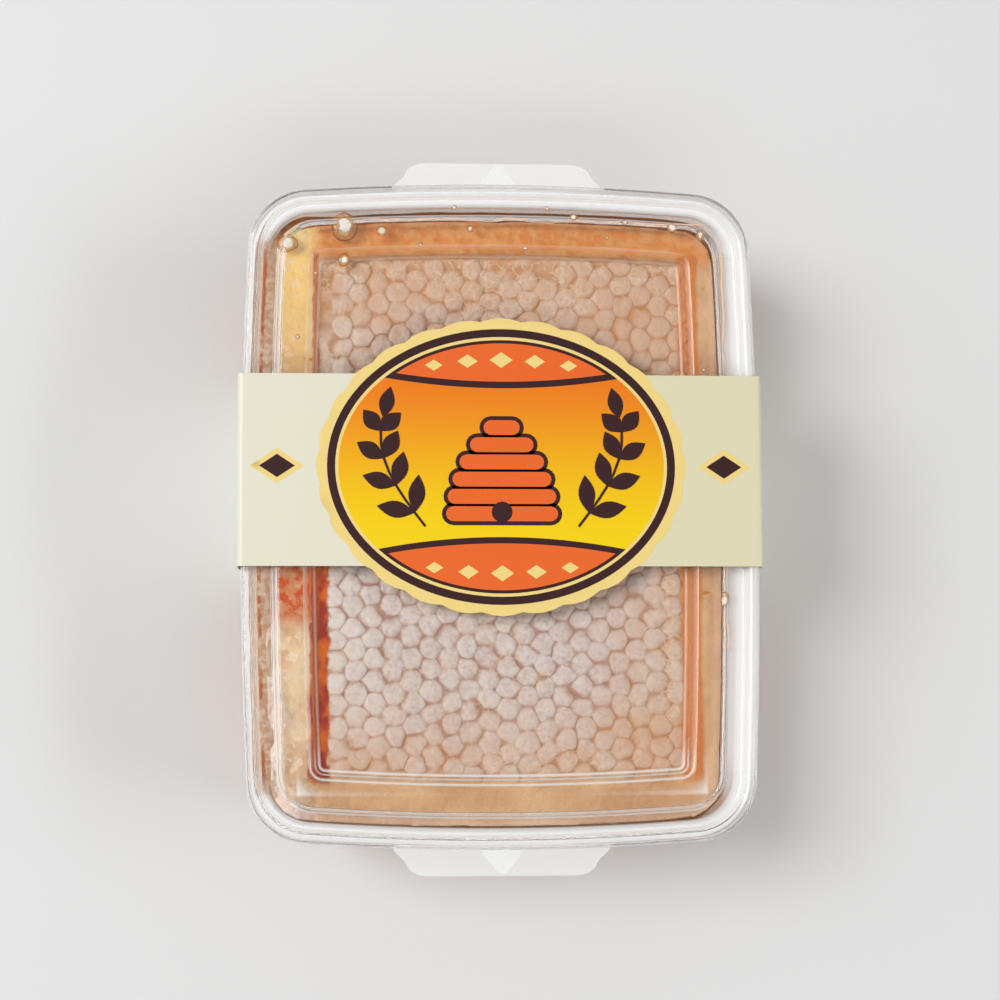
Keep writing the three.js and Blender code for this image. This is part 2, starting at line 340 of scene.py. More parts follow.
# %% Mottle group
def make_mottle_group():
    """Soft blotches and a fine grain, which the wax, the card and the plastic all use."""
    group = bpy.data.node_groups.new("Mottle", "ShaderNodeTree")
    sockets = group.interface
    sockets.new_socket("Blotch size", in_out="INPUT", socket_type="NodeSocketFloat")
    sockets.new_socket("Grain size", in_out="INPUT", socket_type="NodeSocketFloat")
    sockets.new_socket("Blotch", in_out="OUTPUT", socket_type="NodeSocketFloat")
    sockets.new_socket("Grain", in_out="OUTPUT", socket_type="NodeSocketFloat")
    entry = group.nodes.new("NodeGroupInput")
    leave = group.nodes.new("NodeGroupOutput")
    coordinates = group.nodes.new("ShaderNodeTexCoord")
    for socket, detail, out in (("Blotch size", 3, "Blotch"), ("Grain size", 5, "Grain")):
        scale = math_node(group, "DIVIDE", 1.0, entry.outputs[socket])
        texture = add_node(group, "ShaderNodeTexNoise", Detail=detail, Roughness=0.55)
        group.links.new(coordinates.outputs["Object"], texture.inputs["Vector"])
        group.links.new(scale, texture.inputs["Scale"])
        group.links.new(texture.outputs[0], leave.inputs[out])
    return group


MOTTLE = make_mottle_group()


def mottle(tree, blotch_size, grain_size):
    node = tree.nodes.new("ShaderNodeGroup")
    node.node_tree = MOTTLE
    node.inputs["Blotch size"].default_value = blotch_size
    node.inputs["Grain size"].default_value = grain_size
    return node.outputs["Blotch"], node.outputs["Grain"]


def bump_into(tree, shader, height, strength, distance):
    bump = add_node(tree, "ShaderNodeBump", Strength=strength, Distance=distance)
    tree.links.new(height, bump.inputs["Height"])
    tree.links.new(bump.outputs[0], shader.inputs["Normal"])
    return bump


# %% [markdown]
# ### Clear plastic
#
# Thin moulded plastic bends light at its curved edges and hardly at all through its flat
# walls. Glass does both, but it would keep the lamps' light out of the tray. So shadow rays
# pass it as if it weren't there. Diffuse rays pass it too, or the light that they find by
# chance through the glass would be counted a second time.

# %% Clear plastic
def inset_from_rim(tree, x, y):
    """How far in from the bowed rim a point lies, along the four sides."""
    def inset(half, along, across, radius):
        bow = math_node(tree, "MULTIPLY", math_node(tree, "MULTIPLY", across, across), 0.5 / radius)
        reach = math_node(tree, "ADD", math_node(tree, "ABSOLUTE", along), bow)
        return math_node(tree, "SUBTRACT", half, reach)
    from_side = inset(RIM_HALF_X, x, y, SIDE_BOW_RADIUS)
    from_end = inset(RIM_HALF_Y, y, x, END_BOW_RADIUS)
    return math_node(tree, "MINIMUM", from_side, from_end)


def bend_roughness(tree, x, y):
    """The panel's two bends are a little matt, so that they don't mirror the lamps as hard lines."""
    inset = inset_from_rim(tree, x, y)
    inner = stripe(tree, inset, PANEL_INSET - 0.75 * MM, PANEL_INSET + 0.1 * MM, 0.15 * MM)
    outer = stripe(tree, inset, PLATEAU_INSET - 0.1 * MM, PLATEAU_INSET + 0.75 * MM, 0.15 * MM)
    return between(tree, math_node(tree, "MAXIMUM", inner, outer), 0, 1, 0.05, 0.4)


def painted_bend_highlights(tree, x, y, z, bends):
    """Painted highlights: white lines where the panel's step bends, most at the near side, in place of the lamps
    mirrored in the bends.
    """
    lines = [stripe(tree, z, height - 0.2 * MM, height + 0.2 * MM, 0.12 * MM) for height in bends]
    both = math_node(tree, "ADD", *lines)
    near_side_share = between(tree, y, -55 * MM, -63 * MM, 0.08, 1)
    left_side = between(tree, x, -42 * MM, -45 * MM, 0, 0.15)
    both = math_node(tree, "MULTIPLY", both, math_node(tree, "MAXIMUM", near_side_share, left_side))
    inside_x = between(tree, math_node(tree, "ABSOLUTE", x), 50 * MM, 51 * MM, 0.6, 0)
    inside_y = between(tree, math_node(tree, "ABSOLUTE", y), 69 * MM, 70 * MM, 1, 0)
    return math_node(tree, "MULTIPLY", both, math_node(tree, "MULTIPLY", inside_x, inside_y))


def painted_light_on_dry_rim(tree, x, y):
    """Along the right side no honey stands under the lid's rim; milky white there is painted light, as the floor seen
    through it lies in shade.
    """
    bow = math_node(tree, "MULTIPLY", math_node(tree, "MULTIPLY", y, y), 0.5 / SIDE_BOW_RADIUS)
    white = between(tree, math_node(tree, "ADD", x, bow), 55.6 * MM, 57.2 * MM, 0, 0.35)
    fade = between(tree, math_node(tree, "ABSOLUTE", y), 58 * MM, 78 * MM, 1, 0)
    return math_node(tree, "MULTIPLY", white, fade)


def step_haze(tree, x, y, z):
    """The steep steps outside the plateau are drawn thin in the mould, and turn a little hazy."""
    steep = stripe(tree, z, SHOULDER_TOP + 0.2 * MM, SHOULDER_TOP + 0.8 * MM, 0.1 * MM)
    outside = between(tree, inset_from_rim(tree, x, y), 9.2 * MM, 10 * MM, 0.5, 0)
    return math_node(tree, "MULTIPLY", steep, outside)


def make_clear_plastic(name, ripple, haze, painted_light_band=None, bends=None):
    """Glass for the eye, nothing for a shadow ray, a share of diffuse white in both, and painted light and highlights
    where asked.
    """
    material, tree, shader, output = new_material(name)
    shader.inputs["Base Color"].default_value = (0.98, 0.985, 0.985, 1)
    shader.inputs["Transmission Weight"].default_value = 1
    shader.inputs["IOR"].default_value = 1.45
    shader.inputs["Roughness"].default_value = 0.05
    blotch, grain = mottle(tree, 14 * MM, 1.5 * MM)
    bump_into(tree, shader, blotch, ripple, 0.4 * MM)
    milk = add_node(tree, "ShaderNodeBsdfDiffuse", Color=(0.95, 0.95, 0.94, 1))
    hazy = tree.nodes.new("ShaderNodeMixShader")
    hazy.inputs[0].default_value = haze
    spot, (x, y, z) = place(tree)
    # painted light: milky white over a band of heights, where the floor seen through the plastic lies in shade
    if painted_light_band:
        low, high, most = painted_light_band
        tree.links.new(between(tree, z, low, high, haze, most), hazy.inputs[0])
    if bends:
        # painted highlights: white lines along the panel's bends
        share = math_node(tree, "ADD", painted_bend_highlights(tree, x, y, z, bends), haze)
        # painted light: milky white along the right rim
        share = math_node(tree, "MAXIMUM", share, painted_light_on_dry_rim(tree, x, y))
        share = math_node(tree, "MAXIMUM", share, step_haze(tree, x, y, z))
        tree.links.new(bend_roughness(tree, x, y), shader.inputs["Roughness"])
        tree.links.new(share, hazy.inputs[0])
    tree.links.new(shader.outputs[0], hazy.inputs[1])
    tree.links.new(milk.outputs[0], hazy.inputs[2])
    see = tree.nodes.new("ShaderNodeBsdfTransparent")
    see.inputs[0].default_value = (0.995, 0.995, 0.995, 1)
    rays = tree.nodes.new("ShaderNodeLightPath")
    surface = hazy.outputs[0]
    for kind in ("Is Diffuse Ray", "Is Shadow Ray"):
        mix = tree.nodes.new("ShaderNodeMixShader")
        tree.links.new(rays.outputs[kind], mix.inputs[0])
        tree.links.new(surface, mix.inputs[1])
        tree.links.new(see.outputs[0], mix.inputs[2])
        surface = mix.outputs[0]
    tree.links.new(surface, output.inputs["Surface"])
    return material


# Heights of the painted highlight lines along the panel's bends.
BENDS = (PANEL_TOP + 0.35 * MM, PLATEAU_TOP - 0.4 * MM)
lid_plastic = make_clear_plastic("Lid plastic", 0.015, 0.01, bends=BENDS)
tab_plastic = make_clear_plastic("Tab plastic", 0.05, 0.4)
# painted light: the tray turns milky white towards its flange, where the floor seen through it lies in shade
tray_plastic = make_clear_plastic("Tray plastic", 0.01, 0.05, (FLANGE_TOP - 2.2 * MM, FLANGE_TOP - 0.7 * MM, 0.7))

# %% [markdown]
# ## Tray
#
# The tray is one thin wall: a rounded foot, four sides that lean outwards, and a flat
# flange for the lid to rest on. Its profile runs up the outside and back down the inside.

# %% Tray
TRAY_WALL_INSET = 4.4 * MM
FOOT_INSET = 6.97 * MM
BASE_INSET = 25 * MM


def make_tray():
    corners = [
        (BASE_INSET, TRAY_BASE, 0),
        (FOOT_INSET, TRAY_BASE, 2.2 * MM),
        (TRAY_WALL_INSET, FLANGE_TOP - TRAY_WALL, 0.5 * MM),
        (FLANGE_INSET, FLANGE_TOP - TRAY_WALL, 0),
    ]
    outside = rounded_path(corners)
    inside = rounded_path(moved_corners(corners, TRAY_WALL, 0.9 * MM))
    bm = bmesh.new()
    skin(bm, [rim_loop(p.x, p.y) for p in outside + inside[::-1]])
    piece = finish_piece(bm, "tray_shell", tray_plastic)
    even_shading(piece)
    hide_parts("tray")
    return piece


make_tray()

# %% [markdown]
# ## Lid
#
# From the middle outwards the lid has a recessed panel, a step of about 45 degrees, a
# plateau that slopes gently to the outside, a low shoulder, a rolled bead and a skirt.
# At each end a tab stands out of the skirt's lower edge, with a raised mark on it.

# %% Lid
def make_lid_shell():
    corners = [
        (BASE_INSET, PANEL_TOP, 0),
        (PANEL_INSET, PANEL_TOP, 0.7 * MM),
        (PLATEAU_INSET, PLATEAU_TOP, 0.7 * MM),
        (8.65 * MM, PLATEAU_TOP - 0.4 * MM, 0.6 * MM),
        (7.5 * MM, SHOULDER_TOP, 0.6 * MM),
        (3.75 * MM, SHOULDER_TOP, 0.5 * MM),
        (2.5 * MM, BEAD_TOP, 1.1 * MM),
        (0, BEAD_TOP, 1.3 * MM),
        (0, SKIRT_END, 0),
    ]
    outside = rounded_path(corners)
    inside = rounded_path(moved_corners(corners, -LID_WALL, 0.5 * MM))
    bm = bmesh.new()
    skin(bm, [rim_loop(p.x, p.y) for p in inside + outside[::-1]])
    piece = finish_piece(bm, "lid_shell", lid_plastic)
    even_shading(piece)
    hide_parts("lid")
    return piece


lid_shell = make_lid_shell()

# %% Lift tabs
TAB_REACH = lid_high.y - RIM_HALF_Y
TAB_ROOT_HALF = 26.8 * MM
TAB_TIP_HALF = 22 * MM
TAB_CORNER = 3.5 * MM
TAB_THICKNESS = 0.9 * MM
MARK_ROOT_HALF = 5.4 * MM
MARK_TIP_HALF = 0.9 * MM
MARK_HEIGHT = 0.35 * MM
TAB_ROOT = RIM_HALF_Y - 1.4 * MM


def tab_outline():
    """Half of the tab from its root to the middle of its tip, then its mirror image."""
    tip = RIM_HALF_Y + TAB_REACH
    bend = Vector((TAB_TIP_HALF + TAB_CORNER / 2, tip - TAB_CORNER))
    pull = Vector((TAB_TIP_HALF + MM, tip - 0.4 * MM))
    end = Vector((TAB_TIP_HALF - TAB_CORNER, tip))
    half = [Vector((TAB_ROOT_HALF, TAB_ROOT)), Vector((TAB_ROOT_HALF, RIM_HALF_Y))]
    for k in range(9):
        t = k / 8
        half.append(bend * (1 - t) ** 2 + pull * 2 * t * (1 - t) + end * t**2)
    return half + [Vector((-p.x, p.y)) for p in reversed(half)]


def raised_plate(bm, outline, low, high, rounding):
    """Fill an outline, lift it to a plate and round its edges."""
    _, ring = edge_ring(bm, [Vector((p.x, p.y, low)) for p in outline])
    face = bmesh.ops.contextual_create(bm, geom=ring)["faces"]
    lifted = bmesh.ops.extrude_face_region(bm, geom=face)["geom"]
    verts = [g for g in lifted if isinstance(g, bmesh.types.BMVert)]
    bmesh.ops.translate(bm, verts=verts, vec=(0, 0, high - low))
    top = [e for e in {e for v in verts for e in v.link_edges} if all(v in verts for v in e.verts)]
    if rounding:
        bmesh.ops.bevel(
            bm, geom=top, offset=rounding, affect="EDGES", segments=2, profile=0.5, material=-1
        )


def make_tab(name, turn):
    bm = bmesh.new()
    raised_plate(bm, tab_outline(), SKIRT_END, SKIRT_END + TAB_THICKNESS, 0.25 * MM)
    root, tip = RIM_HALF_Y + 0.1 * MM, RIM_HALF_Y + TAB_REACH - 0.6 * MM
    mark = [(-MARK_ROOT_HALF, root), (MARK_ROOT_HALF, root), (MARK_TIP_HALF, tip), (-MARK_TIP_HALF, tip)]
    top = SKIRT_END + TAB_THICKNESS
    raised_plate(bm, [Vector(p) for p in mark], top - 0.3 * MM, top + MARK_HEIGHT, 0.15 * MM)
    bmesh.ops.rotate(bm, verts=bm.verts, matrix=Matrix.Rotation(turn, 3, "Z"))
    piece = finish_piece(bm, name, tab_plastic)
    even_shading(piece)
    return piece


make_tab("tab_far", 0)
make_tab("tab_near", pi)

# %% [markdown]
# ## Comb
#
# Bees build cells of wax on a six-sided plan, 5.4 mm apart, and close each full one with
# a cap. Caps are uneven: some are flat, some domed or dented. Six-sided circles, welded
# where they meet, give the plan. Their corners are shifted a little, each cell is inset a
# few times to raise its cap, and one pass of smoothing rounds it all.

# %% Wax
PANEL_HALF_X = RIM_HALF_X - PANEL_INSET
PANEL_HALF_Y = RIM_HALF_Y - PANEL_INSET
CAP_TOP = comb_high.z
CAP_RISE = 0.8 * MM


def streaks(tree, spot, along_x):
    """A noise that is drawn out along X or along Y."""
    stretch = (0.12, 1, 1) if along_x else (1, 0.12, 1)
    mapping = add_node(tree, "ShaderNodeMapping", Scale=stretch)
    tree.links.new(spot, mapping.inputs["Vector"])
    texture = add_node(tree, "ShaderNodeTexNoise", Scale=420, Detail=3)
    tree.links.new(mapping.outputs[0], texture.inputs["Vector"])
    return texture.outputs[0]


def cap_colour(tree, x, y, z, blotch, fine, grain):
    """Pale caps, whiter to the left and wet with honey towards the edges; grooves darkened by depth as painted shade,
    honey-brown where wet.
    """
    tone = add_node(tree, "ShaderNodeAttribute", attribute_name="tone").outputs["Fac"]
    cap = mixed(tree, between(tree, grain, 0.35, 0.7), srgb(229, 215, 216), srgb(208, 188, 189))
    cap = mixed(tree, math_node(tree, "MULTIPLY", tone, 0.45), cap, srgb(232, 223, 227))
    frost = math_node(tree, "MULTIPLY", between(tree, fine, 0.46, 0.6), 0.55)
    cap = mixed(tree, frost, cap, srgb(239, 231, 232))
    pale = between(tree, x, -0.45 * PANEL_HALF_X, -PANEL_HALF_X, 0.0, 0.8)
    cap = mixed(tree, math_node(tree, "MULTIPLY", pale, fine), cap, srgb(250, 246, 244))
    wet_right = between(tree, x, 0.25 * PANEL_HALF_X, PANEL_HALF_X, 0.0, 1.4)
    wet_near = between(tree, y, -0.6 * PANEL_HALF_Y, -PANEL_HALF_Y, 0.0, 1.4)
    wet_far = between(tree, y, 0.3 * PANEL_HALF_Y, PANEL_HALF_Y, 0.0, 2.2)
    wet = math_node(tree, "ADD", wet_right, math_node(tree, "ADD", wet_near, wet_far))
    wet = math_node(tree, "MULTIPLY", wet, blotch, clamp=True)
    cap = mixed(tree, wet, cap, srgb(226, 188, 164))
    # painted shade: grooves darken with depth under the caps' tops, honey-brown where wet
    painted_groove_shade = between(tree, z, CAP_TOP - 0.25 * MM, CAP_TOP - 0.8 * MM)
    painted_groove_shade = math_node(tree, "MULTIPLY", painted_groove_shade, between(tree, blotch, 0.3, 0.6, 0.6, 1.0))
    groove_shade_colour = mixed(tree, wet, srgb(186, 145, 138), srgb(208, 155, 117))
    return mixed(tree, painted_groove_shade, cap, groove_shade_colour)


def ring_colour(tree, spot, x, y, blotch, fine, wide):
    """Wax under the plateau: tan with long streaks, golden, whitish or orange in places."""
    soaked = mixed(tree, between(tree, wide, 0.35, 0.65), srgb(214, 178, 160), srgb(236, 208, 194))
    at_end = between(tree, math_node(tree, "ABSOLUTE", y), PANEL_HALF_Y - MM, PANEL_HALF_Y + MM)
    lines = mixed(tree, at_end, streaks(tree, spot, False), streaks(tree, spot, True))
    lines = between(tree, lines, 0.5, 0.75, 0.0, 0.45)
    soaked = mixed(tree, lines, soaked, srgb(236, 208, 188))
    far = between(tree, y, PANEL_HALF_Y - 3 * MM, PANEL_HALF_Y + 1.5 * MM, 0.0, 0.85)
    rust = mixed(tree, between(tree, fine, 0.42, 0.6), srgb(236, 176, 122), srgb(232, 148, 72))
    soaked = mixed(tree, far, soaked, rust)
    left = between(tree, x, -PANEL_HALF_X + 2 * MM, -PANEL_HALF_X - 2 * MM)
    gold = math_node(tree, "MULTIPLY", left, between(tree, y, 20 * MM, 62 * MM))
    soaked = mixed(tree, gold, soaked, srgb(255, 232, 180))
    low_left = math_node(tree, "MULTIPLY", left, between(tree, y, -20 * MM, -30 * MM))
    flakes = math_node(tree, "MULTIPLY", low_left, between(tree, blotch, 0.42, 0.56, 0.1, 0.9))
    soaked = mixed(tree, flakes, soaked, srgb(240, 220, 200))
    crumbs = math_node(tree, "MULTIPLY", left, between(tree, fine, 0.56, 0.62))
    soaked = mixed(tree, math_node(tree, "MULTIPLY", crumbs, 0.7), soaked, srgb(244, 236, 234))
    patch = stripe(tree, ragged(tree, y, fine, 5 * MM), -27 * MM, -10 * MM, 3 * MM)
    patch = math_node(tree, "MULTIPLY", patch, left)
    patch = math_node(tree, "MULTIPLY", patch, between(tree, fine, 0.4, 0.55, 1.0, 0.45))
    return mixed(tree, patch, soaked, srgb(210, 92, 0))


def make_wax():
    material, tree, shader, output = new_material("Capped wax")
    spot, (x, y, z) = place(tree)
    blotch, grain = mottle(tree, 7 * MM, 1.1 * MM)
    wide, fine = mottle(tree, 24 * MM, 2.6 * MM)
    curl, crumb = mottle(tree, 4.5 * MM, 1.8 * MM)
    colour = cap_colour(tree, x, y, z, blotch, fine, grain)
    ridge = math_node(tree, "ABSOLUTE", math_node(tree, "SUBTRACT", curl, 0.5))
    ridge = between(tree, ridge, 0.004, 0.045, 1, 0)
    foamy = between(tree, y, PANEL_HALF_Y - 14 * MM, PANEL_HALF_Y - 4 * MM)
    foamy = math_node(tree, "MAXIMUM", foamy, between(tree, wide, 0.45, 0.58))
    ridge = math_node(tree, "MULTIPLY", ridge, foamy)
    colour = mixed(tree, math_node(tree, "MULTIPLY", ridge, 0.6), colour, srgb(238, 218, 202))
    past_x = math_node(tree, "SUBTRACT", math_node(tree, "ABSOLUTE", x), PANEL_HALF_X)
    past_y = math_node(tree, "SUBTRACT", math_node(tree, "ABSOLUTE", y), PANEL_HALF_Y)
    past = ragged(tree, math_node(tree, "MAXIMUM", past_x, past_y), fine, 1.5 * MM)
    ring = between(tree, past, -1.5 * MM, 1.5 * MM)
    colour = mixed(tree, ring, colour, ring_colour(tree, spot, x, y, blotch, fine, wide))
    within = between(tree, math_node(tree, "ABSOLUTE", y), PANEL_HALF_Y, PANEL_HALF_Y + 3 * MM, 1, 0)
    seam = stripe(tree, ragged(tree, x, fine, 1.5 * MM), -47.6 * MM, -42.6 * MM, 0.5 * MM)
    seam = math_node(tree, "MULTIPLY", seam, within)
    seam = math_node(tree, "MULTIPLY", seam, between(tree, y, -5 * MM, -15 * MM, 0.0, 1))
    amber = mixed(tree, between(tree, blotch, 0.4, 0.6), srgb(166, 40, 0), srgb(226, 108, 0))
    colour = mixed(tree, seam, colour, amber)
    thin = stripe(tree, ragged(tree, x, fine, 0.8 * MM), -46.9 * MM, -45.3 * MM, 0.4 * MM)
    thin = math_node(tree, "MULTIPLY", math_node(tree, "MULTIPLY", thin, within), 0.8)
    colour = mixed(tree, thin, colour, srgb(188, 92, 26))
    seam = stripe(tree, ragged(tree, x, blotch, 0.8 * MM), 45 * MM, 50.2 * MM, 0.7 * MM)
    seam = math_node(tree, "MULTIPLY", math_node(tree, "MULTIPLY", seam, within), 0.85)
    colour = mixed(tree, seam, colour, mixed(tree, wide, srgb(212, 122, 48), srgb(218, 136, 56)))
    deep = between(tree, z, CAP_TOP - 1.2 * MM, CAP_TOP - 3.2 * MM)
    colour = mixed(tree, deep, colour, srgb(200, 128, 84))
    tree.links.new(colour, shader.inputs["Base Color"])
    rough = between(tree, grain, 0.3, 0.7, 0.3, 0.55)
    tree.links.new(rough, shader.inputs["Roughness"])
    shader.inputs["Specular IOR Level"].default_value = 0.1
    bump_into(tree, shader, crumb, 0.7, 0.9 * MM)
    return material


wax = make_wax()

# %% Comb plan
CELL_PITCH = 5.4 * MM
CELL_RADIUS = CELL_PITCH / sqrt(3)
CELL_TURN = radians(2)
CORNER_SHIFT = 0.5 * MM
CRUMPLE = 0.55 * MM
CRUMPLE_LIFT = 0.4
COMB_HALF_X = comb_high.x
COMB_HALF_Y = comb_high.y
WAX_RIGHT = 55.5 * MM
WAX_LEFT = 58.3 * MM
WAX_FAR = 74.2 * MM
WAX_NEAR = 77.1 * MM
WAX_CORNER = 9 * MM
CUT_EVERY = 4


UNDERSIDE_SCALE = (COMB_HALF_X / WAX_LEFT, COMB_HALF_Y / WAX_NEAR, 1)


def cell_centres():
    """Centres of the cells whose middle is inside the cut outline, or just past it."""
    columns = ceil(COMB_HALF_X / (1.5 * CELL_RADIUS)) + 2
    rows = ceil(COMB_HALF_Y / CELL_PITCH) + 2
    for column in range(-columns, columns + 1):
        for row in range(-rows, rows + 1):
            x = column * 1.5 * CELL_RADIUS
            y = (row + (abs(column) % 2) / 2) * CELL_PITCH
            place = Vector((x, y, 0))
            place.rotate(Matrix.Rotation(CELL_TURN, 3, "Z"))
            if -WAX_LEFT < place.x + CELL_RADIUS and place.x - CELL_RADIUS < WAX_RIGHT:
                if -WAX_NEAR < place.y + CELL_RADIUS and place.y - CELL_RADIUS < WAX_FAR:
                    yield place


def shift_corners(bm):
    """Move each corner by a slow drift, sink it, and let wax bridge some grooves between corners."""
    for vert in bm.verts:
        drift = noise.noise_vector(vert.co * 420) + noise.noise_vector(vert.co * 90)
        bridged = 0.2 + 0.7 * noise.noise(vert.co * 260)
        vert.co.z += (-0.1 if len(vert.link_faces) == 3 else bridged) * MM
        vert.co.x += drift.x * CORNER_SHIFT
        vert.co.y += drift.y * CORNER_SHIFT


def cut_outline(bm):
    """Cut the comb to a bowed outline inside the tray's walls, with one plane for each of its steps."""
    half_x, half_y = (WAX_RIGHT + WAX_LEFT) / 2, (WAX_FAR + WAX_NEAR) / 2
    centre = Vector((WAX_RIGHT - half_x, WAX_FAR - half_y))
    outline = [centre + p for p in bowed_rectangle(half_x, half_y, WAX_CORNER)[::CUT_EVERY]]
    for i, point in enumerate(outline):
        along = (point - outline[i - 1]).normalized()
        geom = bm.verts[:] + bm.edges[:] + bm.faces[:]
        bmesh.ops.bisect_plane(
            bm, geom=geom, plane_co=point.to_3d(), plane_no=(along.y, -along.x, 0), clear_outer=True
        )


def cell_kind(face, draw):
    """Capped in the middle, cut at the outline, and low under the plateau and near it."""
    centre = face.calc_center_median()
    if face.calc_area() < 12 * MM**2:
        return "cut"
    past = max(abs(centre.x) - PANEL_HALF_X, abs(centre.y) - PANEL_HALF_Y)
    at_left = centre.x < -PANEL_HALF_X + 3.6 * MM
    at_far = centre.y > PANEL_HALF_Y - 0.6 * MM - 2.6 * MM * draw.random()
    return "low" if past > 0.5 * MM or at_left or at_far else "capped"


def cell_steps(kind, share):
    """Rings of a cell from its wall to its middle, as (part of the cell's size, rise in mm)."""
    return {
        "capped": [
            (0.975, 0.1), (0.9, 0.08 + 0.24 * share), (0.76, 0.16), (0.5, 0.1), (0.2, 0.1 - 0.24 * share)
        ],
        "low": [(0.9, 0.05 + 0.1 * share), (0.55, 0.06)],
        "cut": [(0.9, 0.1)],
    }[kind]


def raise_caps(bm, tone_layer):
    """Inset every cell a few times. Each new ring is drawn towards the cell's middle and lifted."""
    draw = random.Random(7)
    cells = []
    for face in bm.faces:
        face[tone_layer] = draw.random()
        steps, size = [], 1
        for part, rise in cell_steps(cell_kind(face, draw), draw.random()):
            drift = Vector((draw.uniform(-0.13, 0.13), draw.uniform(-0.13, 0.13), rise)) * MM
            steps.append((part / size, drift))
            size = part
        cells.append((face, steps))
    for level in range(max(len(steps) for _, steps in cells)):
        chosen = [(face, steps[level]) for face, steps in cells if level < len(steps)]
        bmesh.ops.inset_individual(bm, faces=[face for face, _ in chosen], thickness=0, depth=0)
        for face, (scale, drift) in chosen:
            centre = face.calc_center_median()
            for vert in face.verts:
                vert.co = centre + (vert.co - centre) * scale + drift


def crumple(verts):
    """Push the soft wax about a little, so that no two caps have the same outline."""
    for vert in verts:
        push = noise.noise_vector(vert.co * 380)
        vert.co += Vector((push.x, push.y, CRUMPLE_LIFT * push.z)) * CRUMPLE


def lift_flakes(bm):
    """Near the left wall's lower half the wax stands right under the plateau."""
    for vert in bm.verts:
        inwards = (-PANEL_HALF_X + 1 * MM - vert.co.x) / (2 * MM)
        along = (-24 * MM - vert.co.y) / (6 * MM)
        share = min(max(inwards, 0), 1) * min(max(along, 0), 1)
        lump = 0.75 + 0.9 * noise.noise(vert.co * 120)
        vert.co.z += share * 2.2 * MM * min(max(lump, 0), 1.1)


def make_comb_face(name, is_top):
    bm = bmesh.new()
    turn = Matrix.Rotation(CELL_TURN + radians(30), 4, "Z")
    for centre in cell_centres():
        bmesh.ops.create_circle(
            bm, cap_ends=True, segments=6, radius=CELL_RADIUS, matrix=Matrix.Translation(centre) @ turn
        )
    bmesh.ops.remove_doubles(bm, verts=bm.verts, dist=0.3 * MM)
    bmesh.ops.subdivide_edges(bm, edges=bm.edges, cuts=2)
    shift_corners(bm)
    cut_outline(bm)
    bmesh.ops.remove_doubles(bm, verts=bm.verts, dist=0.4 * MM)
    bm.normal_update()
    tone_layer = bm.faces.layers.float.new("tone")
    raise_caps(bm, tone_layer)
    inner = [v for v in bm.verts if not v.is_boundary]
    bmesh.ops.smooth_vert(
        bm, verts=inner, factor=0.5, use_axis_x=True, use_axis_y=True, use_axis_z=True
    )
    crumple(inner)
    if is_top:
        lift_flakes(bm)
    rim = [e for e in bm.edges if e.is_boundary]
    hem = bmesh.ops.extrude_edge_only(bm, edges=rim)["geom"]
    hem = [g for g in hem if isinstance(g, bmesh.types.BMVert)]
    bmesh.ops.translate(bm, verts=hem, vec=(0, 0, -1.5 * MM))
    if is_top:
        bmesh.ops.translate(bm, verts=bm.verts, vec=(0, 0, CAP_TOP - CAP_RISE))
    else:
        bmesh.ops.rotate(bm, verts=bm.verts, matrix=Matrix.Rotation(pi, 3, "Y"))
        bmesh.ops.scale(bm, verts=bm.verts, vec=UNDERSIDE_SCALE)
        bmesh.ops.translate(bm, verts=bm.verts, vec=(0, 0, comb_low.z + CAP_RISE))
    piece = finish_piece(bm, name, wax)
    return piece


comb_top = make_comb_face("comb_caps_top", True)
make_comb_face("comb_caps_under", False)
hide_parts("comb")

# %% [markdown]
# The cut sides show the cells lengthwise. A knife has opened them, so each is a channel
# from the caps down to the wall in the middle of the comb, with a thin ridge of wax
# between it and the next. The outline is scalloped, and edge loops carry it downwards.

# %% Comb sides
CUT_STEPS = 8
MIDRIB_HALF = 0.5 * MM
SIDE_LEVELS = 6
CELL_SWAY = 1.6 * MM


def make_side_wax():
    """Pale ridges and honey-coloured channels, told apart by how far in a point lies."""
    material, tree, shader, output = new_material("Cut wax")
    cut = add_node(tree, "ShaderNodeAttribute", attribute_name="cut").outputs["Fac"]
    blotch, grain = mottle(tree, 8 * MM, 1.4 * MM)
    depth = math_node(tree, "ADD", cut, math_node(tree, "MULTIPLY", grain, 0.3))
    colour = mixed(tree, between(tree, depth, 0.1, 0.75), srgb(240, 224, 192), srgb(214, 158, 82))
    colour = mixed(tree, between(tree, blotch, 0.45, 0.75, 0.0, 0.8), colour, srgb(194, 124, 52))
    tree.links.new(colour, shader.inputs["Base Color"])
    shader.inputs["Roughness"].default_value = 0.4
    shader.inputs["Subsurface Weight"].default_value = 0.2
    shader.inputs["Subsurface Radius"].default_value = (1.0, 0.6, 0.3)
    shader.inputs["Subsurface Scale"].default_value = 2 * MM
    bump_into(tree, shader, grain, 0.4, 0.3 * MM)
    return material


def scalloped(draw_seed):
    """The cut outline with a channel for each opened cell, and how deep each point lies."""
    draw = random.Random(draw_seed)
    outline = bowed_rectangle(COMB_HALF_X, COMB_HALF_Y, 6 * MM)
    lengths = [(outline[i] - outline[i - 1]).length for i in range(len(outline))]
    total = sum(lengths)
    channels = round(total / (CELL_PITCH * 0.93))
    step = total / (channels * CUT_STEPS)
    depths = [(0.3 + 1.7 * draw.random()) * MM for _ in range(channels)]
    points, travelled, index = [], 0.0, 1
    for k in range(channels * CUT_STEPS):
        while travelled + lengths[index % len(outline)] < k * step:
            travelled += lengths[index % len(outline)]
            index += 1
        start, end = outline[index - 1], outline[index % len(outline)]
        spot = start.lerp(end, (k * step - travelled) / lengths[index % len(outline)])
        inward = Vector((start.y - end.y, end.x - start.x)).normalized()
        share = sqrt(max(sin(pi * (k % CUT_STEPS) / CUT_STEPS), 0))
        points.append((spot + inward * depths[k // CUT_STEPS] * share, share))
    return points


